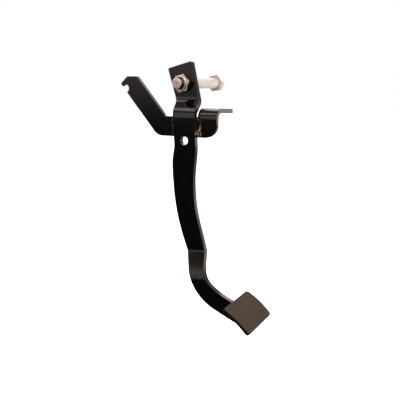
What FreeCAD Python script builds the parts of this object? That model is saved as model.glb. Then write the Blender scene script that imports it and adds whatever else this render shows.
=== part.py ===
import FreeCAD, Part
import math
import os
from FreeCAD import Vector as V

# Frame: origin on the pivot axis at mid thickness of the arm's eye,
# X toward the driver, Y along the pivot bolt toward its head, Z up.

# Arm: flat bar, set over sideways twice on its way down
bar_t = 8.0
eye_top_left = (-26.4, 21.6)
eye_top_right = (13.6, 31.6)
eye_low_left = (-11.9, -25.0)
eye_low_right = (25.4, -22.0)
eye_corner_r = 2.5
eye_bore_r = 10.0
web_left = [(-9.4, -49.0), (-7.0, -86.0)]
web_right = [(27.2, -49.0), (28.8, -86.0)]
left_edge = [(-9.9, -108.0), (-10.2, -130.0), (-7.0, -168.0), (0.3, -205.0), (14.0, -246.0),
             (24.3, -271.4), (35.8, -295.6), (47.9, -311.1), (62.9, -322.3), (83.7, -331.3)]
right_edge = [(25.5, -130.0), (26.2, -166.0), (32.6, -202.0), (43.9, -242.0),
              (50.5, -269.2), (57.7, -284.3), (69.3, -294.5), (85.7, -303.9), (101.2, -309.8)]
toe_low = (113.8, -343.0)
toe_high = (136.7, -329.0)
toe_r = 9.0

# Set-overs of the arm: start height, angle, inside radius, outside radius, step
upper_set = (-22.9, 46.0, 3.0, 23.0, 16.0)
lower_set = (-245.5, 30.0, 6.0, 45.0, 20.0)
lower_lean = 6.5
lower_mid_x = 31.0

# Link hole through the web of the arm
link_x = 9.9
link_z = -82.0
link_r = 6.5

# Cross plate behind the arm: cable lever on one side, folded stop bracket on the other
plate_t = 6.4
plate_top = -48.0
plate_bottom = -77.5
plate_relief = (2.0, 0.3)
lever_angle = 40.7
lever_width = 30.0
lever_tip = (-108.0, -0.5)
lever_end_cut = 16.6
lever_heel_r = 20.0
lever_crotch_r = 3.0
hook_tip = 5.4
hook_r = 6.2
hook_depth = 2.0
bracket_left = 28.4
bracket_right = 59.4
bracket_corner_r = 19.0
fold_r = 14.6
fold_z = -50.4
fold_angle = 93.0
flange_end = 42.0
flange_corner_r = 2.0

# Pad: shallow curved plate across the end of the arm
pad_width = 80.0
pad_offset = 0.5
pad_top = (104.1, -304.8)
pad_bottom = (144.6, -334.6)
pad_t = 5.0
pad_r = 125.0
pad_corner_r = 5.0
pad_edge_r = 1.4

# Weld seams
seam_leg = 7.0
seam_crown = 0.9
pad_seam_leg = 4.0

# Pivot bolt set, 16 mm thread
bolt_r = 8.0
bolt_length = 120.0
head_flats = 24.0
hex_bevel = 1.04
head_h = 10.0
nut_h = 7.0
collar_h = 4.0
collar_r = 10.8
collar_lip_r = 9.6
mouth_bevel = 0.9
bolt_bevel = 2.2
bolt_reach = 10.0
side_play = 0.3
bush_clearance = 0.05
nut_turn = 13.0
head_turn = 10.0

arm_front = -bar_t / 2.0
web_front = arm_front - upper_set[4]
web_rear = web_front + bar_t
toe_front = web_front - lower_set[4]
toe_mid = toe_front + bar_t / 2.0


def xz(point, y=0.0):
    return V(point[0], y, point[1])


def line(a, b):
    return Part.makeLine(a, b)


def arc(a, b, c):
    return Part.Arc(a, b, c).toShape()


def spline(points, start, end=None):
    curve = Part.BSplineCurve()
    if end is None:
        curve.interpolate(Points=points, InitialTangent=start, FinalTangent=points[-1] - points[-2])
    else:
        curve.interpolate(Points=points, InitialTangent=start, FinalTangent=end)
    return curve.toShape()


def rounded(points, radii):
    """Closed outline in XZ with a rounding radius at each corner."""
    edges = []
    ends = []
    count = len(points)
    for i in range(count):
        p = xz(points[i])
        a = (xz(points[i - 1]) - p).normalize()
        b = (xz(points[(i + 1) % count]) - p).normalize()
        r = radii[i]
        if r <= 0:
            ends.append((p, p, None))
            continue
        half = a.getAngle(b) / 2.0
        reach = r / math.tan(half)
        mid = (a + b).normalize()
        centre = p + mid * (r / math.sin(half))
        ends.append((p + a * reach, p + b * reach, centre - mid * r))
    for i in range(count):
        first, last, top = ends[i]
        if top is not None:
            edges.append(arc(first, top, last))
        edges.append(line(last, ends[(i + 1) % count][0]))
    return Part.Face(Part.Wire(edges))


def arm_outline():
    """The arm as seen along the pivot axis."""
    tl = xz(eye_top_left)
    tr = xz(eye_top_right)
    ll = xz(eye_low_left)
    lr = xz(eye_low_right)
    lw = [xz(p) for p in web_left]
    rw = [xz(p) for p in web_right]
    low = [lw[1]] + [xz(p) for p in left_edge]
    high = [rw[1]] + [xz(p) for p in right_edge]
    end_low = xz(toe_low)
    end_high = xz(toe_high)
    edges = [line(tl, tr), line(tr, lr)]
    edges.append(spline([lr, rw[0]], (lr - tr) * 0.5, (rw[1] - rw[0]) * 0.7))
    edges.append(line(rw[0], rw[1]))
    edges.append(spline(high, rw[1] - rw[0]))
    edges.append(line(high[-1], end_high))
    edges.append(line(end_high, end_low))
    edges.append(line(end_low, low[-1]))
    edges.append(spline(low, lw[1] - lw[0]))
    edges.append(line(lw[1], lw[0]))
    edges.append(spline([ll, lw[0]], (ll - tl) * 0.5, (lw[1] - lw[0]) * 0.7))
    edges.append(line(ll, tl))
    return Part.Face(Part.Wire(Part.__sortEdges__(edges)))


def bar_surface(bend, front, depth, top, bottom):
    """Edges of one set-over's side profile in YZ, depth behind the front face."""
    start, angle, inside, outside, step = bend
    t = math.radians(angle)
    run = (step - (inside + outside) * (1.0 - math.cos(t))) / math.sin(t)
    c = V(0, front - inside, start)
    r = inside + depth
    p = [c + V(0, r * math.cos(k), -r * math.sin(k)) for k in (0.0, t / 2.0, t)]
    face_end = c + V(0, inside * math.cos(t), -inside * math.sin(t))
    face_end = face_end + V(0, -math.sin(t), -math.cos(t)) * run
    c = face_end + V(0, math.cos(t), -math.sin(t)) * outside
    r = outside - depth
    q = [c + V(0, -r * math.cos(k), r * math.sin(k)) for k in (t, t / 2.0, 0.0)]
    return [line(V(0, front + depth, top), p[0]), arc(p[0], p[1], p[2]), line(p[2], q[0]),
            arc(q[0], q[1], q[2]), line(q[2], V(0, q[2].y, bottom))]


def bar_band(bend, front, top, bottom, lean, middle):
    """Bent band across the full width; lean tilts the bend lines about Y."""
    near = bar_surface(bend, front, 0.0, top, bottom)
    far = bar_surface(bend, front, bar_t, top, bottom)
    head = line(near[0].Vertexes[0].Point, far[0].Vertexes[0].Point)
    foot = line(near[-1].Vertexes[-1].Point, far[-1].Vertexes[-1].Point)
    face = Part.Face(Part.Wire(Part.__sortEdges__(near + far + [head, foot])))
    rise = math.tan(math.radians(lean))
    face.translate(V(-60.0, 0, (-60.0 - middle) * rise))
    return face.extrude(V(240.0, 0, 240.0 * rise))


def cylinder(x, z, r, y0, y1):
    return Part.makeCylinder(r, y1 - y0, V(x, y0, z), V(0, 1, 0))


def pad_frame():
    """Centre of curvature and the two end angles of the pad."""
    a = xz(pad_top)
    d = xz(pad_bottom)
    chord = d - a
    normal = V(-chord.z, 0, chord.x).normalize()
    sag = math.sqrt(pad_r ** 2 - (chord.Length / 2.0) ** 2)
    c = (a + d) * 0.5 - normal * sag
    high = math.atan2(a.z - c.z, a.x - c.x)
    low = math.atan2(d.z - c.z, d.x - c.x)
    return c, high, low


def ring_sector(inner, outer, high, low, y0, y1):
    c = pad_frame()[0]
    def at(r, k):
        return V(c.x + r * math.cos(k), y0, c.z + r * math.sin(k))
    mid = (high + low) / 2.0
    edges = [arc(at(outer, high), at(outer, mid), at(outer, low)),
             line(at(outer, low), at(inner, low)),
             arc(at(inner, low), at(inner, mid), at(inner, high)),
             line(at(inner, high), at(outer, high))]
    return Part.Face(Part.Wire(edges)).extrude(V(0, y1 - y0, 0))


def upright_edges(solid, y_low, y_high):
    """Straight edges that run along Y between the two heights."""
    found = []
    for e in solid.Edges:
        b = e.BoundBox
        if b.XLength < 0.01 and b.ZLength < 0.01 and b.YMin > y_low and b.YMax < y_high:
            found.append(e)
    return found


def pedal_arm():
    plan = arm_outline().extrude(V(0, 90, 0))
    plan.translate(V(0, -60, 0))
    upper = bar_band(upper_set, arm_front, 60.0, -190.0, 0.0, 0.0)
    lower = bar_band(lower_set, web_front, -130.0, -400.0, lower_lean, lower_mid_x)
    solid = plan.common(upper.fuse(lower).removeSplitter())
    corners = [e for e in upright_edges(solid, -5, 5) if e.BoundBox.ZMin > 10]
    solid = solid.makeFillet(eye_corner_r, corners)
    c, high, low = pad_frame()
    solid = solid.cut(ring_sector(pad_r - pad_t, pad_r + 30.0, high + 0.03, low - 0.3, -60.0, 0.0))
    toe = [e for e in upright_edges(solid, -60, -20) if e.BoundBox.XMin > 100 and e.BoundBox.ZMax < -340]
    solid = solid.makeFillet(toe_r, toe)
    solid = solid.cut(cylinder(0, 0, eye_bore_r, -20, 20))
    solid = solid.cut(cylinder(link_x, link_z, link_r, -40, 10))
    return solid


def lever_points():
    t = math.radians(lever_angle)
    along = V(math.sin(t), 0, -math.cos(t))
    across = V(math.cos(t), 0, math.sin(t))
    tip = xz(lever_tip)
    shoulder = tip + across * lever_end_cut
    far = tip + across * lever_width
    top = far + along * ((far.z - shoulder.z) / math.cos(t))
    crotch = far + along * ((far.z - plate_top) / math.cos(t))
    heel = tip + along * ((tip.z - plate_bottom) / math.cos(t))
    hook = tip + along * (hook_tip + math.sqrt(hook_r ** 2 - hook_depth ** 2)) + across * hook_depth
    return tip, shoulder, top, crotch, heel, hook


def bracket_fold():
    """Folded strip: upright part, outside bend and rearward flange."""
    y0 = web_rear
    y1 = y0 + plate_t
    zb = plate_bottom
    ri = fold_r - plate_t
    t = math.radians(180.0 - fold_angle)
    c = V(0, y0 + fold_r, fold_z)
    out = V(0, math.cos(t), math.sin(t))
    half = V(0, math.cos((math.pi + t) / 2.0), math.sin((math.pi + t) / 2.0))
    along = V(0, math.sin(t), -math.cos(t))
    reach = (flange_end - c.y - fold_r * out.y) / along.y
    a = c + out * fold_r
    b = c + out * ri
    edges = [line(V(0, y0, zb), V(0, y0, fold_z)),
             arc(V(0, y0, fold_z), c + half * fold_r, a),
             line(a, a + along * reach),
             line(a + along * reach, b + along * reach),
             line(b + along * reach, b),
             arc(b, c + half * ri, V(0, y1, fold_z)),
             line(V(0, y1, fold_z), V(0, y1, zb)),
             line(V(0, y1, zb), V(0, y0, zb))]
    face = Part.Face(Part.Wire(edges))
    face.translate(V(bracket_left, 0, 0))
    solid = face.extrude(V(bracket_right - bracket_left, 0, 0))
    lower = [e for e in upright_edges(solid, y0 - 0.1, y1 + 0.1)
             if e.BoundBox.XMin > bracket_right - 0.1 and e.BoundBox.ZMax < zb + 0.1]
    solid = solid.makeFillet(bracket_corner_r, lower)
    ends = []
    for e in solid.Edges:
        b = e.BoundBox
        if b.XLength < 0.01 and b.ZLength > plate_t / 2.0 and b.YMin > flange_end - 1.0:
            ends.append(e)
    return solid.makeFillet(flange_corner_r, ends)


def bend_relief():
    """Broken edge of the plate where the arm's bend begins."""
    drop, depth = plate_relief
    x0 = web_left[0][0] - 0.5
    x1 = web_right[0][0] + 0.5
    y = web_rear
    corners = [V(x0, y - 1.0, plate_top + 1.0), V(x0, y + depth, plate_top + 1.0),
               V(x0, y + depth, plate_top), V(x0, y, plate_top - drop),
               V(x0, y - 1.0, plate_top - drop), V(x0, y - 1.0, plate_top + 1.0)]
    return Part.Face(Part.makePolygon(corners)).extrude(V(x1 - x0, 0, 0))


def lever_plate():
    tip, shoulder, top, crotch, heel, hook = lever_points()
    outline = [(p.x, p.z) for p in (tip, shoulder, top, crotch)]
    outline += [(bracket_left + 2.0, plate_top), (bracket_left + 2.0, plate_bottom), (heel.x, heel.z)]
    face = rounded(outline, [0.8, 1.5, 1.5, lever_crotch_r, 0.0, 0.0, lever_heel_r])
    face.translate(V(0, web_rear, 0))
    flat = face.extrude(V(0, plate_t, 0))
    flat = flat.cut(cylinder(hook.x, hook.z, hook_r, -40, 20))
    return flat.fuse(bracket_fold()).removeSplitter().cut(bend_relief())


def seam(edge, side, z0, z1):
    """Crowned fillet bead between the arm's edge and the plate's front."""
    y = web_rear
    lean = (edge[1][0] - edge[0][0]) / (edge[1][1] - edge[0][1])
    x = edge[0][0] + (z0 - edge[0][1]) * lean
    a = V(x, y, z0)
    b = V(x + side * seam_leg, y, z0)
    c = V(x, y - seam_leg, z0)
    out = V(side, -1, 0).normalize()
    m = (b + c) * 0.5 + out * seam_crown
    face = Part.Face(Part.Wire([line(a, b), arc(b, m, c), line(c, a)]))
    return face.extrude(V((z1 - z0) * lean, 0, z1 - z0))


def pad_seam(y, side):
    """Fillet bead under the pad along one face of the arm's toe."""
    c, high, low = pad_frame()
    r = pad_r - pad_t
    k = high - 0.045
    turn = math.degrees(k - low) - 4.5
    u = V(math.cos(k), 0, math.sin(k))
    a = c + u * r + V(0, y, 0)
    b = a + V(0, side * pad_seam_leg, 0)
    d = a - u * pad_seam_leg
    face = Part.Face(Part.Wire([line(a, b), line(b, d), line(d, a)]))
    return face.revolve(c, V(0, 1, 0), turn)


def pedal_pad():
    c, high, low = pad_frame()
    y0 = toe_mid - pad_width / 2.0 + pad_offset
    solid = ring_sector(pad_r - pad_t, pad_r, high, low, y0, y0 + pad_width)
    corners = []
    for e in solid.Edges:
        if abs(e.Length - pad_t) < 0.01:
            corners.append(e)
    solid = solid.makeFillet(pad_corner_r, corners)
    rim = []
    for e in solid.Edges:
        far = [(p - V(c.x, p.y, c.z)).Length for p in e.discretize(5)]
        if min(far) > pad_r - 0.05:
            rim.append(e)
    return solid.makeFillet(pad_edge_r, rim)


def hexagon(flats, height, y0, turn, bevel_low, bevel_high):
    """Hexagon prism along Y with its corners turned back at the ends."""
    r = flats / math.sqrt(3.0)
    points = []
    for i in range(7):
        k = math.radians(turn + 60.0 * i)
        points.append(V(r * math.cos(k), y0, r * math.sin(k)))
    solid = Part.Face(Part.makePolygon(points)).extrude(V(0, height, 0))
    slope = math.tan(math.radians(30.0))
    edge = flats / 2.0 * hex_bevel
    grow = (r + 1.0 - edge) * slope
    profile = [V(0, y0, 0)]
    if bevel_low:
        profile += [V(edge, y0, 0), V(r + 1.0, y0 + grow, 0)]
    else:
        profile += [V(r + 1.0, y0, 0)]
    if bevel_high:
        profile += [V(r + 1.0, y0 + height - grow, 0), V(edge, y0 + height, 0)]
    else:
        profile += [V(r + 1.0, y0 + height, 0)]
    profile += [V(0, y0 + height, 0), V(0, y0, 0)]
    cone = Part.Face(Part.makePolygon(profile)).revolve(V(0, 0, 0), V(0, 1, 0), 360)
    return solid.common(cone)


def nut_face():
    return arm_front - side_play


def bolt_end():
    return nut_face() - nut_h - collar_h - bolt_reach


def pivot_bolt():
    y0 = bolt_end()
    y1 = y0 + bolt_length
    profile = [V(0, y0, 0), V(bolt_r - bolt_bevel, y0, 0), V(bolt_r, y0 + bolt_bevel, 0),
               V(bolt_r, y1, 0), V(0, y1, 0), V(0, y0, 0)]
    shank = Part.Face(Part.makePolygon(profile)).revolve(V(0, 0, 0), V(0, 1, 0), 360)
    head = hexagon(head_flats, head_h, y1, head_turn, False, True)
    solid = shank.fuse(head).removeSplitter()
    centre = Part.makeCone(2.2, 0.4, 1.8, V(0, y0, 0), V(0, 1, 0))
    return solid.cut(centre)


def pivot_nut():
    """Low hexagon with a round locking collar turned in at its lip."""
    y0 = nut_face() - nut_h
    y1 = y0 - collar_h
    inset = y0 + nut_h / 2.0
    fall = (collar_r - collar_lip_r) / 2.0
    profile = [V(0, inset, 0), V(collar_r, inset, 0), V(collar_r, y1 + 3.0 * fall, 0),
               V(collar_r - fall, y1 + fall, 0), V(collar_lip_r, y1, 0), V(0, y1, 0), V(0, inset, 0)]
    collar = Part.Face(Part.makePolygon(profile)).revolve(V(0, 0, 0), V(0, 1, 0), 360)
    solid = hexagon(head_flats, nut_h, y0, nut_turn, True, True).fuse(collar).removeSplitter()
    solid = solid.cut(cylinder(0, 0, bolt_r, y1 - 1.0, y0 + nut_h + 1.0))
    mouth = Part.makeCone(bolt_r + mouth_bevel, bolt_r, mouth_bevel, V(0, y1, 0), V(0, 1, 0))
    return solid.cut(mouth)


def pivot_bush():
    ring = cylinder(0, 0, eye_bore_r, -bar_t / 2.0, bar_t / 2.0)
    return ring.cut(cylinder(0, 0, bolt_r + bush_clearance, -bar_t, bar_t))


def build():
    return {
        "pedal_arm": pedal_arm(),
        "cross_plate": lever_plate(),
        "plate_weld_left": seam(web_left, -1.0, plate_bottom + 1.0, plate_top - 1.4),
        "plate_weld_right": seam(web_right, 1.0, plate_bottom + 1.5, plate_top - 1.5),
        "pedal_pad": pedal_pad(),
        "pad_weld_front": pad_seam(toe_front, -1.0),
        "pad_weld_rear": pad_seam(toe_front + bar_t, 1.0),
        "pivot_bush": pivot_bush(),
        "pivot_bolt": pivot_bolt(),
        "pivot_nut": pivot_nut(),
    }


os.makedirs("parts", exist_ok=True)
for name, shape in build().items():
    shape.exportStep("parts/" + name + ".step")
    b = shape.BoundBox
    print(name, shape.isValid(), len(shape.Solids), round(shape.Volume, 1),
          [round(k, 1) for k in (b.XMin, b.XMax, b.YMin, b.YMax, b.ZMin, b.ZMax)])
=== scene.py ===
import math
import bmesh
import bpy
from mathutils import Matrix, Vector, noise as solid_noise

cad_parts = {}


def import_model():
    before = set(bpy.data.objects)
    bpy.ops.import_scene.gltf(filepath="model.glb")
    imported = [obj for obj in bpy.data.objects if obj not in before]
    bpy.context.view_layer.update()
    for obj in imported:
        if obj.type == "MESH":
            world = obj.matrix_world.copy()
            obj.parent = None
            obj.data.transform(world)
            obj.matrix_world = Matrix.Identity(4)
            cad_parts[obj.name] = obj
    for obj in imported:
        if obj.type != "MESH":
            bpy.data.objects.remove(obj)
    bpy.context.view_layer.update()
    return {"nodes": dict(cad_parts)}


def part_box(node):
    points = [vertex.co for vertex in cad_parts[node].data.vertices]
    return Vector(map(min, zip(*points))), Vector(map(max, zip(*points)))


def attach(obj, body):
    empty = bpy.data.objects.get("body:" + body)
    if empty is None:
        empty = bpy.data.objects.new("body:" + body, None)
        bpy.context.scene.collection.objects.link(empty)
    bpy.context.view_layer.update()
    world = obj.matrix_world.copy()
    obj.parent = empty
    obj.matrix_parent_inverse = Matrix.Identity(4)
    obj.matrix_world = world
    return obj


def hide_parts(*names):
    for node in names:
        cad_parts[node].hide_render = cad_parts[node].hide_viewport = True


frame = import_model()
nodes = frame["nodes"]

# Lengths are in metres, in the part's frame: X to the right, Y along the bolt to its head, Z up
RIGHT = Vector((1.0, 0.0, 0.0))
BACK = Vector((0.0, 1.0, 0.0))
UP = Vector((0.0, 0.0, 1.0))

# Camera fitted to the photograph, with its lens and sensor in millimetres
CAMERA_AT = Vector((0.41546, -0.70258, 0.00248))
CAMERA_LOOK = Vector((-0.47394, 0.85422, -0.21376))
CAMERA_LENS = 48.73
CAMERA_SENSOR = 36.0
CAMERA_CLIP = (0.01, 100.0)

# Mesh work: distance that merges points, tolerance of a cut, and the angle from which an edge is sharp
MERGE = 1e-6
CUT_TOLERANCE = 1e-7
SHARP_ANGLE = math.radians(28.0)

# Bolt and nut: sizes of their solids, with the radius of the painted shade in the nut's mouth, and the
# lengths over which one finish fades into the next
BOLT_R = 0.008
BOLT_BEVEL = 0.0022
BOLT_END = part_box("pivot_bolt")[0][1]
BEVEL_END = BOLT_END + BOLT_BEVEL
HEAD_HEIGHT = 0.010
HEAD_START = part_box("pivot_bolt")[1][1] - HEAD_HEIGHT
NUT_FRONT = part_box("pivot_nut")[0][1]
NUT_MOUTH_R = 0.0088
THREAD_FADE = 0.001
BEVEL_FADE = 0.0005
HEAD_FADE = 0.0004
MOUTH_FADE = 0.0003

# Cut thread: length from the bolt's end, pitch, depth, slope of its flanks, run-out, and mesh steps
THREAD_LENGTH = 0.038
THREAD_END = BOLT_END + THREAD_LENGTH
THREAD_PITCH = 0.002
THREAD_DEPTH = 0.0011
THREAD_SLOPE = 1.25
THREAD_RUNOUT = 2.0 * THREAD_PITCH
THREAD_STEP = 0.0002
THREAD_SEGMENTS = 72
THREAD_TURNS = [k / THREAD_SEGMENTS for k in range(THREAD_SEGMENTS)]

# Centre hole in the bolt's end: radius and depth of its floor, then of its mouth
CENTRE_HOLE = ((0.0004, 0.0018), (0.0022, 0.0))

# Upper set-over of the arm: front face, height and angle of its inner bend, and the radius of that
# bend in the solid and here, with the rows of points that shape it, how deep the sides follow, and
# the Y of a normal under which a face belongs to the front
ARM_FRONT = -0.004
BEND_CORNER = -0.02417
BEND_ANGLE = math.radians(46.0)
SOLID_BEND_R = 0.003
SOFT_BEND_R = 0.012
BEND_ROWS = 24
FILL_DEPTH = 0.004
FRONT_FACING = -0.3

# Weld beads: grain of the mesh, and the slices in which a root is found along the run
WELD_GRAIN = 0.00035
SLICE = 0.001

# Ripples of a bead: pitch, height, the level taken as zero, bow by distance from the root, and wander
RIPPLE_PITCH = 0.0017
RIPPLE_HEIGHT = 0.0006
RIPPLE_MIDDLE = 0.75
RIPPLE_BOW = 0.12
BOW_REACH = 0.003
WANDER = 0.25
WANDER_SCALE = 260.0

# Lumps of a bead with finer grit on them, and the length and depth in which its ends run out
LUMP_HEIGHT = 0.0006
LUMP_SCALE = 210.0
GRIT = 0.4
GRIT_SCALE = 620.0
END_TAPER = 0.0045
END_DROP = 0.9

# Heat tint of the bare bead: the height where it is gold, the distances from there over which the
# gold fades, and how far it lifts the noise of the lumps at those two
GOLD_LIFT = 0.0055
GOLD_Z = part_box("plate_weld_right")[0][2] + GOLD_LIFT
GOLD_FADE = (0.001, 0.007)
GOLD_GAIN = (0.085, -0.025)

# Slope of the pad, as a fall over a run to the right: the way down it and the way that it faces
PAD_ACROSS = 40.5
PAD_FALL = 29.8
PAD_RUN = Vector((PAD_ACROSS, 0.0, -PAD_FALL)).normalized()
PAD_FACE = Vector((PAD_FALL, 0.0, PAD_ACROSS)).normalized()

# Finishes: margin at each end of a noise's range, samples of a rounded edge, and the cosines
# between which a face comes to count as the tread, which takes painted light, or as an end face
NOISE_MARGIN = 0.3
EDGE_SAMPLES = 6
TREAD_COSINES = (0.45, 0.75)
END_COSINES = (0.55, 0.80)

# Room: brightness by height of the direction (sine of elevation), in front, behind left, behind right
LOW_Z = -0.4
FRONT_ROOM = [
    (-0.40, 0.010), (-0.12, 0.010), (-0.080, 0.02), (-0.05, 0.10), (-0.028, 0.34), (0.0, 0.60),
    (0.06, 0.95), (0.30, 1.15), (0.49, 1.05), (0.52, 0.05), (0.59, 0.05), (0.62, 0.6),
    (0.68, 2.4), (0.80, 2.8), (0.84, 0.14), (0.93, 0.14), (1.0, 0.6)]
LEFT_ROOM = [
    (-0.40, 0.40), (-0.16, 0.70), (-0.09, 1.0), (0.08, 1.3), (0.20, 2.2), (0.50, 3.4), (0.80, 3.2),
    (0.90, 1.6), (1.0, 1.2)]
RIGHT_ROOM = [
    (-0.40, 0.50), (-0.16, 0.70), (-0.10, 1.4), (-0.075, 2.0), (-0.04, 2.0), (-0.01, 1.3), (0.05, 0.80),
    (0.15, 0.45), (0.25, 0.45), (0.50, 0.75), (0.80, 2.6), (0.90, 1.6), (1.0, 1.2)]

# Y and X of the direction over which the front turns into the back, and the left into the right
BACK_FADE = (0.0, 0.25)
RIGHT_FADE = (0.02, 0.12)

# Tints of the room, of what is dimmer than a level there, and of the floor, which ends at a height
ROOM_TINT = (1.0, 0.86, 0.82)
DIM_TINT = (0.92, 1.0, 1.0)
DIM_LEVEL = 0.36
FLOOR_TINT = (1.0, 0.74, 0.62)
FLOOR_TOP = -0.12

# Floor under the part
FLOOR_Z = -0.42
FLOOR_SIZE = 12.0


def wire(tree, node, sockets):
    """Links a node's inputs, by name, or sets them to plain values."""
    for name, value in sockets.items():
        if isinstance(value, bpy.types.NodeSocket):
            tree.links.new(value, node.inputs[name])
        else:
            node.inputs[name].default_value = value


def add_node(tree, kind, sockets=None, **settings):
    """New shader node with its settings made and its inputs wired."""
    node = tree.nodes.new("ShaderNode" + kind)
    for name, value in settings.items():
        setattr(node, name, value)
    wire(tree, node, sockets or {})
    return node


def new_material(name):
    """Material that holds one Principled shader, with its node tree and that shader."""
    mat = bpy.data.materials.new(name)
    mat.use_nodes = True
    tree = mat.node_tree
    tree.nodes.clear()
    bsdf = add_node(tree, "BsdfPrincipled")
    add_node(tree, "OutputMaterial", {"Surface": bsdf.outputs["BSDF"]})
    return mat, tree, bsdf


def coords(tree):
    """Place on the object."""
    return add_node(tree, "TexCoord").outputs["Object"]


def normals(tree):
    """Way that the surface faces, in the object's own axes."""
    return add_node(tree, "TexCoord").outputs["Normal"]


def axes(tree, vector):
    """X, Y and Z of a vector."""
    return add_node(tree, "SeparateXYZ", {"Vector": vector}).outputs


def noise(tree, vector, scale, detail=3.0, rough=0.5):
    """Cloudy value at a place."""
    sockets = {"Vector": vector, "Scale": scale, "Detail": detail, "Roughness": rough}
    return add_node(tree, "TexNoise", sockets).outputs["Fac"]


def stretch(tree, vector, scale):
    """Place with its axes scaled."""
    return add_node(tree, "Mapping", {"Vector": vector, "Scale": scale}).outputs["Vector"]


def maths(tree, operation, *values):
    """One operation on sockets and numbers."""
    node = add_node(tree, "Math", operation=operation)
    for socket, value in zip(node.inputs, values):
        if isinstance(value, float):
            socket.default_value = value
        else:
            tree.links.new(value, socket)
    return node.outputs["Value"]


def spread(tree, value, low, high, out_low, out_high):
    """Takes a value's range from low to high over to another range."""
    sockets = {"Value": value, "From Min": low, "From Max": high, "To Min": out_low, "To Max": out_high}
    return add_node(tree, "MapRange", sockets).outputs["Result"]


def grade(tree, cloud, low, high):
    """Number that goes from low to high over the middle of a noise."""
    return spread(tree, cloud, NOISE_MARGIN, 1.0 - NOISE_MARGIN, low, high)


def by_mask(tree, mask, off, on):
    """Number that is one value where a mask is 0 and another where it is 1."""
    return spread(tree, mask, 0.0, 1.0, off, on)


def ramp(tree, fac, stops):
    """Colour from a list of places and colours."""
    node = add_node(tree, "ValToRGB", {"Fac": fac})
    elements = node.color_ramp.elements
    for element, (position, colour) in zip(elements, (stops[0], stops[-1])):
        element.position = position
        element.color = (*colour, 1.0)
    for position, colour in stops[1:-1]:
        elements.new(position).color = (*colour, 1.0)
    return node.outputs["Color"]


def mottle(tree, cloud, dark, light, margin=NOISE_MARGIN):
    """Colour that goes from dark to light over the middle of a noise."""
    return ramp(tree, cloud, [(margin, dark), (1.0 - margin, light)])


def blend(tree, fac, low, high):
    """Mix of two colours."""
    sockets = {"Factor": fac, "A": low, "B": high}
    return add_node(tree, "Mix", sockets, data_type="RGBA").outputs["Result"]


def bump(tree, height, strength, distance, normal=None):
    """Normal tilted by a height, over another normal if one is given."""
    sockets = {"Height": height, "Strength": strength, "Distance": distance}
    if normal is not None:
        sockets["Normal"] = normal
    return add_node(tree, "Bump", sockets).outputs["Normal"]


def soft_edge(tree, radius):
    """Normal that rounds every edge a little."""
    return add_node(tree, "Bevel", {"Radius": radius}, samples=EDGE_SAMPLES).outputs["Normal"]


def lit_tread_mask(tree):
    """1 on faces that look the way the pad does, which take the painted light, 0 on its edges and back."""
    dot = add_node(tree, "VectorMath", operation="DOT_PRODUCT")
    tree.links.new(normals(tree), dot.inputs[0])
    dot.inputs[1].default_value = PAD_FACE
    return spread(tree, dot.outputs["Value"], *TREAD_COSINES, 0.0, 1.0)


def end_faces(tree):
    """1 on faces square to the bolt's axis, 0 on faces along it."""
    square = maths(tree, "ABSOLUTE", axes(tree, normals(tree))["Y"])
    return spread(tree, square, *END_COSINES, 0.0, 1.0)


def from_axis(tree, at):
    """Distance from the bolt's axis."""
    place = axes(tree, at)
    squares = [maths(tree, "MULTIPLY", place[axis], place[axis]) for axis in "XZ"]
    return maths(tree, "SQRT", maths(tree, "ADD", *squares))


def gloss_black():
    """Black paint with faint clouds, slightly uneven gloss and orange peel."""
    mat, tree, bsdf = new_material("gloss_black_paint")
    at = coords(tree)
    cloud = noise(tree, at, scale=38.0, detail=4.0)
    fine = noise(tree, at, scale=160.0, detail=5.0, rough=0.6)
    peel = noise(tree, at, scale=420.0, detail=2.0)
    wire(tree, bsdf, {
        "Base Color": mottle(tree, cloud, (0.0007, 0.0009, 0.0010), (0.0013, 0.0015, 0.0015)),
        "Roughness": grade(tree, fine, 0.09, 0.15),
        "IOR": 1.5,
        "Normal": bump(tree, peel, strength=0.10, distance=0.0003, normal=soft_edge(tree, 0.0009)),
    })
    return mat


def pad_finish():
    """Matt pad in black paint, with painted light on the tread: its brown-grey tone stands in for light
    from above, while the edges and back stay black.
    """
    mat, tree, bsdf = new_material("pad_paint_painted_light")
    at = coords(tree)
    cloud = noise(tree, at, scale=45.0, detail=5.0, rough=0.6)
    fine = noise(tree, at, scale=900.0)
    # Painted light: the tread's brown-grey colour stands in for light from above on the black paint; the
    # darker colour below is the paint itself
    painted_light_tread = mottle(tree, cloud, (0.0245, 0.0184, 0.0138), (0.0318, 0.0238, 0.0176), margin=0.25)
    paint = mottle(tree, cloud, (0.0020, 0.0018, 0.0016), (0.0034, 0.0030, 0.0026), margin=0.25)
    wire(tree, bsdf, {
        "Base Color": blend(tree, lit_tread_mask(tree), paint, painted_light_tread),
        "Roughness": grade(tree, fine, 0.55, 0.68),
        "Specular IOR Level": 0.06,
        "Normal": bump(tree, fine, strength=0.22, distance=0.0004, normal=soft_edge(tree, 0.0010)),
    })
    return mat


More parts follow.
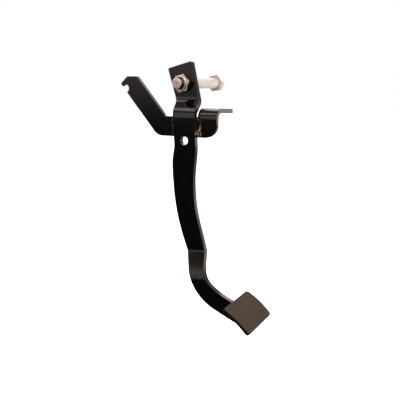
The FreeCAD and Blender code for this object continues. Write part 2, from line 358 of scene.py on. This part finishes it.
def weld_metal():
    """Heat tinted bead: dark scale with gold lumps, most of them round one height of the seam."""
    mat, tree, bsdf = new_material("weld_bead")
    at = coords(tree)
    lump = noise(tree, stretch(tree, at, (1.0, 1.0, 0.5)), scale=210.0, rough=0.55)
    grain = noise(tree, at, scale=700.0)
    away = maths(tree, "ABSOLUTE", maths(tree, "SUBTRACT", axes(tree, at)["Z"], GOLD_Z))
    gilding = maths(tree, "ADD", lump, spread(tree, away, *GOLD_FADE, *GOLD_GAIN))
    scale, bronze, gold = (0.004, 0.003, 0.002), (0.16, 0.11, 0.05), (0.85, 0.68, 0.38)
    bands = add_node(tree, "TexWave", {"Vector": at, "Scale": 62.0, "Distortion": 4.0, "Detail": 2.0},
                     wave_type="BANDS", bands_direction="Z")
    ripple = bump(tree, bands.outputs["Fac"], strength=0.35, distance=0.0008)
    wire(tree, bsdf, {
        "Base Color": ramp(tree, gilding, [(0.46, scale), (0.55, bronze), (0.64, gold)]),
        "Roughness": grade(tree, grain, 0.22, 0.40),
        "Metallic": 0.85,
        "Normal": bump(tree, lump, strength=1.0, distance=0.0036, normal=ripple),
    })
    return mat


def nut_zinc():
    """Bright drawn flats, frosted end faces and painted shade in the thread mouth round the bolt."""
    mat, tree, bsdf = new_material("nut_zinc")
    at = coords(tree)
    cloud = noise(tree, at, scale=120.0, detail=4.0, rough=0.55)
    scratch = noise(tree, stretch(tree, at, (1.0, 0.1, 1.0)), scale=700.0)
    ends = end_faces(tree)
    mouth = spread(tree, from_axis(tree, at), NUT_MOUTH_R, NUT_MOUTH_R + MOUTH_FADE, 1.0, 0.0)
    flats = mottle(tree, cloud, (0.64, 0.61, 0.52), (0.78, 0.75, 0.64))
    frosted = mottle(tree, cloud, (0.42, 0.38, 0.34), (0.53, 0.48, 0.43))
    # Painted shade: near black in the nut's mouth round the bolt, where shade falls into the recess
    thread = mottle(tree, cloud, (0.030, 0.022, 0.016), (0.060, 0.045, 0.032))
    wire(tree, bsdf, {
        "Base Color": blend(tree, mouth, blend(tree, ends, flats, frosted), thread),
        "Metallic": by_mask(tree, ends, 1.0, 0.65),
        "Roughness": maths(tree, "ADD", grade(tree, scratch, 0.14, 0.24), by_mask(tree, ends, 0.0, 0.22)),
        "Normal": bump(tree, scratch, strength=0.10, distance=0.0003, normal=soft_edge(tree, 0.0007)),
    })
    return mat


def bolt_zones(tree, at):
    """Masks along the bolt: threaded end, cut thread, all behind the nut's front, and head."""
    along = axes(tree, at)["Y"]
    near = spread(tree, along, THREAD_END, THREAD_END + THREAD_FADE, 1.0, 0.0)
    behind_bevel = spread(tree, along, BEVEL_END, BEVEL_END + BEVEL_FADE, 0.0, 1.0)
    cut = maths(tree, "MULTIPLY", near, behind_bevel)
    behind_front = spread(tree, along, NUT_FRONT, NUT_FRONT + THREAD_FADE, 0.0, 1.0)
    head = spread(tree, along, HEAD_START - HEAD_FADE, HEAD_START, 0.0, 1.0)
    return near, cut, behind_front, head


def bolt_zinc():
    """Frosted zinc shank, tip and end faces, brighter head flats, and a cut thread darkened with painted
    shade where it stands out of the nut.
    """
    mat, tree, bsdf = new_material("bolt_zinc")
    at = coords(tree)
    cloud = noise(tree, at, scale=120.0, detail=4.0, rough=0.55)
    drawn = noise(tree, stretch(tree, at, (1.0, 0.08, 1.0)), scale=600.0)
    near, cut, behind_front, head = bolt_zones(tree, at)
    ends = end_faces(tree)
    shank = mottle(tree, cloud, (0.31, 0.295, 0.285), (0.42, 0.40, 0.385))
    flats = mottle(tree, cloud, (0.60, 0.58, 0.50), (0.74, 0.72, 0.63))
    frosted = mottle(tree, cloud, (0.50, 0.48, 0.45), (0.62, 0.60, 0.57))
    tip = mottle(tree, cloud, (0.36, 0.31, 0.28), (0.46, 0.40, 0.36))
    # Painted shade: the thread between the tip and the nut is coloured dark brown for the shade round it;
    # inside the nut it stays lighter
    painted_shade_thread = mottle(tree, cloud, (0.08, 0.046, 0.027), (0.15, 0.094, 0.056))
    thread_in_nut = mottle(tree, cloud, (0.30, 0.285, 0.26), (0.44, 0.42, 0.39))
    rear = blend(tree, ends, blend(tree, head, shank, flats), frosted)
    thread = blend(tree, behind_front, painted_shade_thread, thread_in_nut)
    shine = maths(tree, "ADD", by_mask(tree, near, 0.3, 0.65), by_mask(tree, cut, 0.0, 0.35))
    rings = add_node(tree, "TexWave", {"Vector": at, "Scale": 520.0, "Distortion": 0.6},
                     wave_type="RINGS", rings_direction="Y")
    turning = maths(tree, "MULTIPLY", rings.outputs["Fac"], ends)
    turned = bump(tree, turning, strength=0.10, distance=0.0003, normal=soft_edge(tree, 0.0004))
    wire(tree, bsdf, {
        "Base Color": blend(tree, cut, blend(tree, near, rear, tip), thread),
        "Metallic": maths(tree, "ADD", shine, by_mask(tree, head, 0.0, 0.45)),
        "Roughness": maths(tree, "MULTIPLY", grade(tree, drawn, 0.38, 0.55), by_mask(tree, cut, 1.0, 0.6)),
        "Normal": bump(tree, drawn, strength=0.08, distance=0.0003, normal=turned),
    })
    return mat


def bush_bronze():
    """Bronze with uneven colour and gloss."""
    mat, tree, bsdf = new_material("bush_bronze")
    cloud = noise(tree, coords(tree), scale=240.0, detail=4.0)
    wire(tree, bsdf, {
        "Base Color": mottle(tree, cloud, (0.36, 0.22, 0.09), (0.52, 0.34, 0.15)),
        "Metallic": 1.0,
        "Roughness": grade(tree, cloud, 0.32, 0.48),
    })
    return mat


def dress(mat, *objects):
    """Gives one finish to some objects."""
    for obj in objects:
        obj.data.materials.clear()
        obj.data.materials.append(mat)


def add_piece(name, mesh, node, body):
    """New piece that stands for a node and moves with the node's body."""
    obj = bpy.data.objects.new(name, mesh)
    bpy.context.scene.collection.objects.link(obj)
    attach(obj, body)
    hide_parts(node)
    return obj


def clamp(value):
    """Number held between 0 and 1."""
    return min(max(value, 0.0), 1.0)


def open_node(node):
    """Editable copy of a node's mesh, with doubled points merged."""
    bm = bmesh.new()
    bm.from_mesh(nodes[node].data)
    bmesh.ops.remove_doubles(bm, verts=bm.verts, dist=MERGE)
    return bm


def cut_across(bm, at, normal, clear_behind=False):
    """Cuts a mesh along a plane, and may take away what lies behind it."""
    parts = bm.verts[:] + bm.edges[:] + bm.faces[:]
    bmesh.ops.bisect_plane(bm, geom=parts, dist=CUT_TOLERANCE, plane_co=at, plane_no=normal,
                           clear_inner=clear_behind)


def shaded_mesh(bm, name):
    """Mesh from an edited form, smooth between its sharp edges."""
    bmesh.ops.recalc_face_normals(bm, faces=bm.faces)
    for face in bm.faces:
        face.smooth = True
    for edge in bm.edges:
        edge.smooth = edge.calc_face_angle(0.0) < SHARP_ANGLE
    mesh = bpy.data.meshes.new(name)
    bm.to_mesh(mesh)
    bm.free()
    return mesh


def thread_radius(y, turn):
    """Radius of the cut thread at a place along the bolt and a turn from 0 to 1."""
    phase = ((y - BOLT_END) / THREAD_PITCH - turn) % 1.0
    wave = 1.0 - abs(2.0 * phase - 1.0)
    cut = clamp(0.5 + THREAD_SLOPE * (wave - 0.5))
    fade = clamp((THREAD_END - y) / THREAD_RUNOUT)
    bevel = BOLT_R - BOLT_BEVEL + y - BOLT_END
    return min(BOLT_R - THREAD_DEPTH * cut * fade, bevel)


def ring(bm, y, radii):
    """Points round the bolt's axis, one for each radius."""
    verts = []
    for turn, radius in zip(THREAD_TURNS, radii):
        angle = 2.0 * math.pi * turn
        verts.append(bm.verts.new((radius * math.cos(angle), y, radius * math.sin(angle))))
    return verts


def join_rings(bm, a, b):
    """Faces between two rings."""
    for k in range(THREAD_SEGMENTS):
        n = (k + 1) % THREAD_SEGMENTS
        bm.faces.new((a[k], b[k], b[n], a[n]))


def threaded_bolt():
    """The bolt with its thread cut as a helix: the plain end is the solid's own, the rest is new."""
    bm = open_node("pivot_bolt")
    cut_across(bm, BACK * THREAD_END, BACK, clear_behind=True)
    rim = [edge for edge in bm.edges if edge.is_boundary]
    rings = [ring(bm, BOLT_END + depth, [radius] * THREAD_SEGMENTS) for radius, depth in CENTRE_HOLE]
    for k in range(round(THREAD_LENGTH / THREAD_STEP)):
        y = BOLT_END + k * THREAD_STEP
        rings.append(ring(bm, y, [thread_radius(y, turn) for turn in THREAD_TURNS]))
    bm.faces.new(rings[0])
    for a, b in zip(rings, rings[1:]):
        join_rings(bm, a, b)
    last = set(rings[-1])
    rim += [edge for edge in bm.edges if edge.is_boundary and last.issuperset(edge.verts)]
    bmesh.ops.bridge_loops(bm, edges=rim)
    mesh = shaded_mesh(bm, "bolt_threaded")
    return add_piece("bolt_threaded", mesh, "pivot_bolt", "pivot_set")


def front_line(z, radius):
    """Front face of the arm at a height, where the upper inner bend has some radius."""
    drop = BEND_CORNER - z + radius * math.tan(BEND_ANGLE / 2.0)
    if drop <= 0.0:
        return ARM_FRONT
    if drop >= radius * math.sin(BEND_ANGLE):
        return ARM_FRONT - (BEND_CORNER - z) * math.tan(BEND_ANGLE)
    return ARM_FRONT - radius + math.sqrt(radius ** 2 - drop ** 2)


def soften(vert):
    """Moves a point of the front onto the softer bend, and one behind it by less the deeper it lies."""
    solid = front_line(vert.co.z, SOLID_BEND_R)
    soft = front_line(vert.co.z, SOFT_BEND_R)
    if any(face.normal.y < FRONT_FACING for face in vert.link_faces):
        vert.co.y = soft
    else:
        vert.co.y += (soft - solid) * max(1.0 - (vert.co.y - solid) / FILL_DEPTH, 0.0)


def soft_bent_arm():
    """The arm with a softer inner bend above its ledge, the rest as the solid has it."""
    bm = open_node("pedal_arm")
    top = BEND_CORNER + SOFT_BEND_R * math.tan(BEND_ANGLE / 2.0)
    step = SOFT_BEND_R * math.sin(BEND_ANGLE) / BEND_ROWS
    low = top - BEND_ROWS * step
    for k in range(BEND_ROWS + 1):
        cut_across(bm, UP * (top - k * step), UP)
    bm.normal_update()
    for vert in bm.verts:
        if low < vert.co.z < top:
            soften(vert)
    mesh = shaded_mesh(bm, "arm_bent")
    piece = add_piece("arm_bent", mesh, "pedal_arm", "pedal")
    piece.modifiers.new("flat_faces", "WEIGHTED_NORMAL").keep_sharp = True
    return piece


def fine_mesh(node):
    """Even, fine copy of a node's form."""
    temp = bpy.data.objects.new("temp", nodes[node].data.copy())
    bpy.context.scene.collection.objects.link(temp)
    grain = temp.modifiers.new("grain", "REMESH")
    grain.mode = "VOXEL"
    grain.voxel_size = WELD_GRAIN
    seen = bpy.context.evaluated_depsgraph_get()
    mesh = bpy.data.meshes.new_from_object(temp.evaluated_get(seen))
    bpy.data.objects.remove(temp)
    return mesh


def slice_roots(places, run, corner):
    """Start of the run, and for each slice along it the point deepest in the bead's corner."""
    start = min(p.dot(run) for p in places)
    roots = {}
    for p in places:
        k = int((p.dot(run) - start) / SLICE)
        if k not in roots or p.dot(corner) > roots[k].dot(corner):
            roots[k] = p
    return start, roots


def bead_relief(at, along, reach):
    """Height of a bead's skin over its plain form: overlapping ripples that bow outward, and lumps."""
    wander = WANDER * solid_noise.noise(at * WANDER_SCALE)
    phase = (along / RIPPLE_PITCH + RIPPLE_BOW * (reach / BOW_REACH) ** 2 + wander) % 1.0
    ripple = math.sqrt(max(1.0 - (2.0 * phase - 1.0) ** 2, 0.0)) - RIPPLE_MIDDLE
    lump = solid_noise.noise(at * LUMP_SCALE) + GRIT * solid_noise.noise(at * GRIT_SCALE)
    return RIPPLE_HEIGHT * ripple + LUMP_HEIGHT * lump


def weld_bead(name, node, run, corner):
    """Rippled bead that fills a corner along a run, with ends that run out."""
    mesh = fine_mesh(node)
    mesh.name = name
    places = [v.co.copy() for v in mesh.vertices]
    ways = [v.normal.copy() for v in mesh.vertices]
    start, roots = slice_roots(places, run, corner)
    length = max(p.dot(run) for p in places) - start
    for vert, at, way in zip(mesh.vertices, places, ways):
        along = at.dot(run) - start
        out = at - roots[int(along / SLICE)]
        out -= run * out.dot(run)
        near_end = clamp(1.0 - min(along, length - along) / END_TAPER)
        vert.co = at - out * (1.0 - math.sqrt(1.0 - END_DROP * near_end ** 2))
        vert.co += way * bead_relief(at, along, out.length)
    for face in mesh.polygons:
        face.use_smooth = True
    return add_piece(name, mesh, node, "pedal")


def floor():
    """Plain pale floor that reflections leave out."""
    bpy.ops.mesh.primitive_plane_add(size=FLOOR_SIZE, location=(0.0, 0.0, FLOOR_Z))
    plane = bpy.context.object
    plane.name = "floor"
    mat, tree, bsdf = new_material("floor_pale")
    wire(tree, bsdf, {
        "Base Color": (0.86, 0.86, 0.86, 1.0),
        "Roughness": 0.9,
        "Emission Color": (1.0, 0.995, 0.99, 1.0),
        "Emission Strength": 0.55,
    })
    plane.data.materials.append(mat)
    plane.visible_glossy = False


def heights(levels):
    """Ramp stops from brightness by height: warm, warmest off the floor, and cool where dim."""
    stops = []
    for z, level in levels:
        tint = FLOOR_TINT if z < FLOOR_TOP else ROOM_TINT
        if level < DIM_LEVEL:
            tint = DIM_TINT
        stops.append(((z - LOW_Z) / (1.0 - LOW_Z), tuple(level * t for t in tint)))
    return stops


def world():
    """Pale room for light and reflections, and plain white behind the part."""
    studio = bpy.data.worlds.new("studio")
    studio.use_nodes = True
    bpy.context.scene.world = studio
    tree = studio.node_tree
    tree.nodes.clear()
    way = axes(tree, add_node(tree, "TexCoord").outputs["Generated"])
    rise = spread(tree, way["Z"], LOW_Z, 1.0, 0.0, 1.0)
    back = spread(tree, way["Y"], *BACK_FADE, 0.0, 1.0)
    right = spread(tree, way["X"], *RIGHT_FADE, 0.0, 1.0)
    front_light, left_light, right_light = [
        ramp(tree, rise, heights(levels)) for levels in (FRONT_ROOM, LEFT_ROOM, RIGHT_ROOM)]
    light = blend(tree, back, front_light, blend(tree, right, left_light, right_light))
    room = add_node(tree, "Background", {"Color": light, "Strength": 1.0})
    seen = add_node(tree, "Background", {"Color": (1.0, 1.0, 1.0, 1.0)})
    pick = add_node(tree, "MixShader", {"Fac": add_node(tree, "LightPath").outputs["Is Camera Ray"]})
    for socket, source in zip(pick.inputs[1:], (room, seen)):
        tree.links.new(source.outputs["Background"], socket)
    add_node(tree, "OutputWorld", {"Surface": pick.outputs["Shader"]})


def aimed(name, data, at, look):
    """New object at a place, looking along a direction."""
    obj = bpy.data.objects.new(name, data)
    obj.location = at
    obj.rotation_mode = "QUATERNION"
    obj.rotation_quaternion = look.to_track_quat("-Z", "Y")
    bpy.context.scene.collection.objects.link(obj)
    return obj


def area(name, at, target, size, power, colour):
    """Soft rectangular light that reflections leave out."""
    data = bpy.data.lights.new(name, "AREA")
    data.shape = "RECTANGLE"
    data.size, data.size_y = size
    data.energy = power
    data.color = colour
    aimed(name, data, at, Vector(target) - Vector(at)).visible_glossy = False


def camera():
    """Camera at the photograph's viewing angle."""
    data = bpy.data.cameras.new("photo_camera")
    data.sensor_width = CAMERA_SENSOR
    data.lens = CAMERA_LENS
    data.clip_start, data.clip_end = CAMERA_CLIP
    bpy.context.scene.camera = aimed("photo_camera", data, CAMERA_AT, CAMERA_LOOK)


# Pieces that stand for solids
arm = soft_bent_arm()
bolt = threaded_bolt()
bead_left = weld_bead("bead_left", "plate_weld_left", UP, BACK + RIGHT)
bead_right = weld_bead("bead_right", "plate_weld_right", UP, BACK - RIGHT)
bead_pad_front = weld_bead("bead_pad_front", "pad_weld_front", PAD_RUN, PAD_FACE + BACK)
bead_pad_rear = weld_bead("bead_pad_rear", "pad_weld_rear", PAD_RUN, PAD_FACE - BACK)

# Finish of every piece and node: the left bead is painted over with the arm
dress(gloss_black(), arm, nodes["cross_plate"], bead_left)
dress(pad_finish(), nodes["pedal_pad"])
dress(weld_metal(), bead_right, bead_pad_front, bead_pad_rear)
dress(bolt_zinc(), bolt)
dress(nut_zinc(), nodes["pivot_nut"])
dress(bush_bronze(), nodes["pivot_bush"])

# Floor, light and camera
floor()
world()
area("top_soft", at=(0.25, -0.35, 1.3), target=(0.0, 0.0, -0.15), size=(1.6, 1.2),
     power=16.0, colour=(1.0, 0.97, 0.95))
area("right_soft", at=(1.2, 0.15, 0.15), target=(0.0, 0.0, -0.10), size=(1.2, 1.0),
     power=18.0, colour=(1.0, 0.94, 0.91))
camera()
bpy.context.scene.view_settings.view_transform = "Standard"
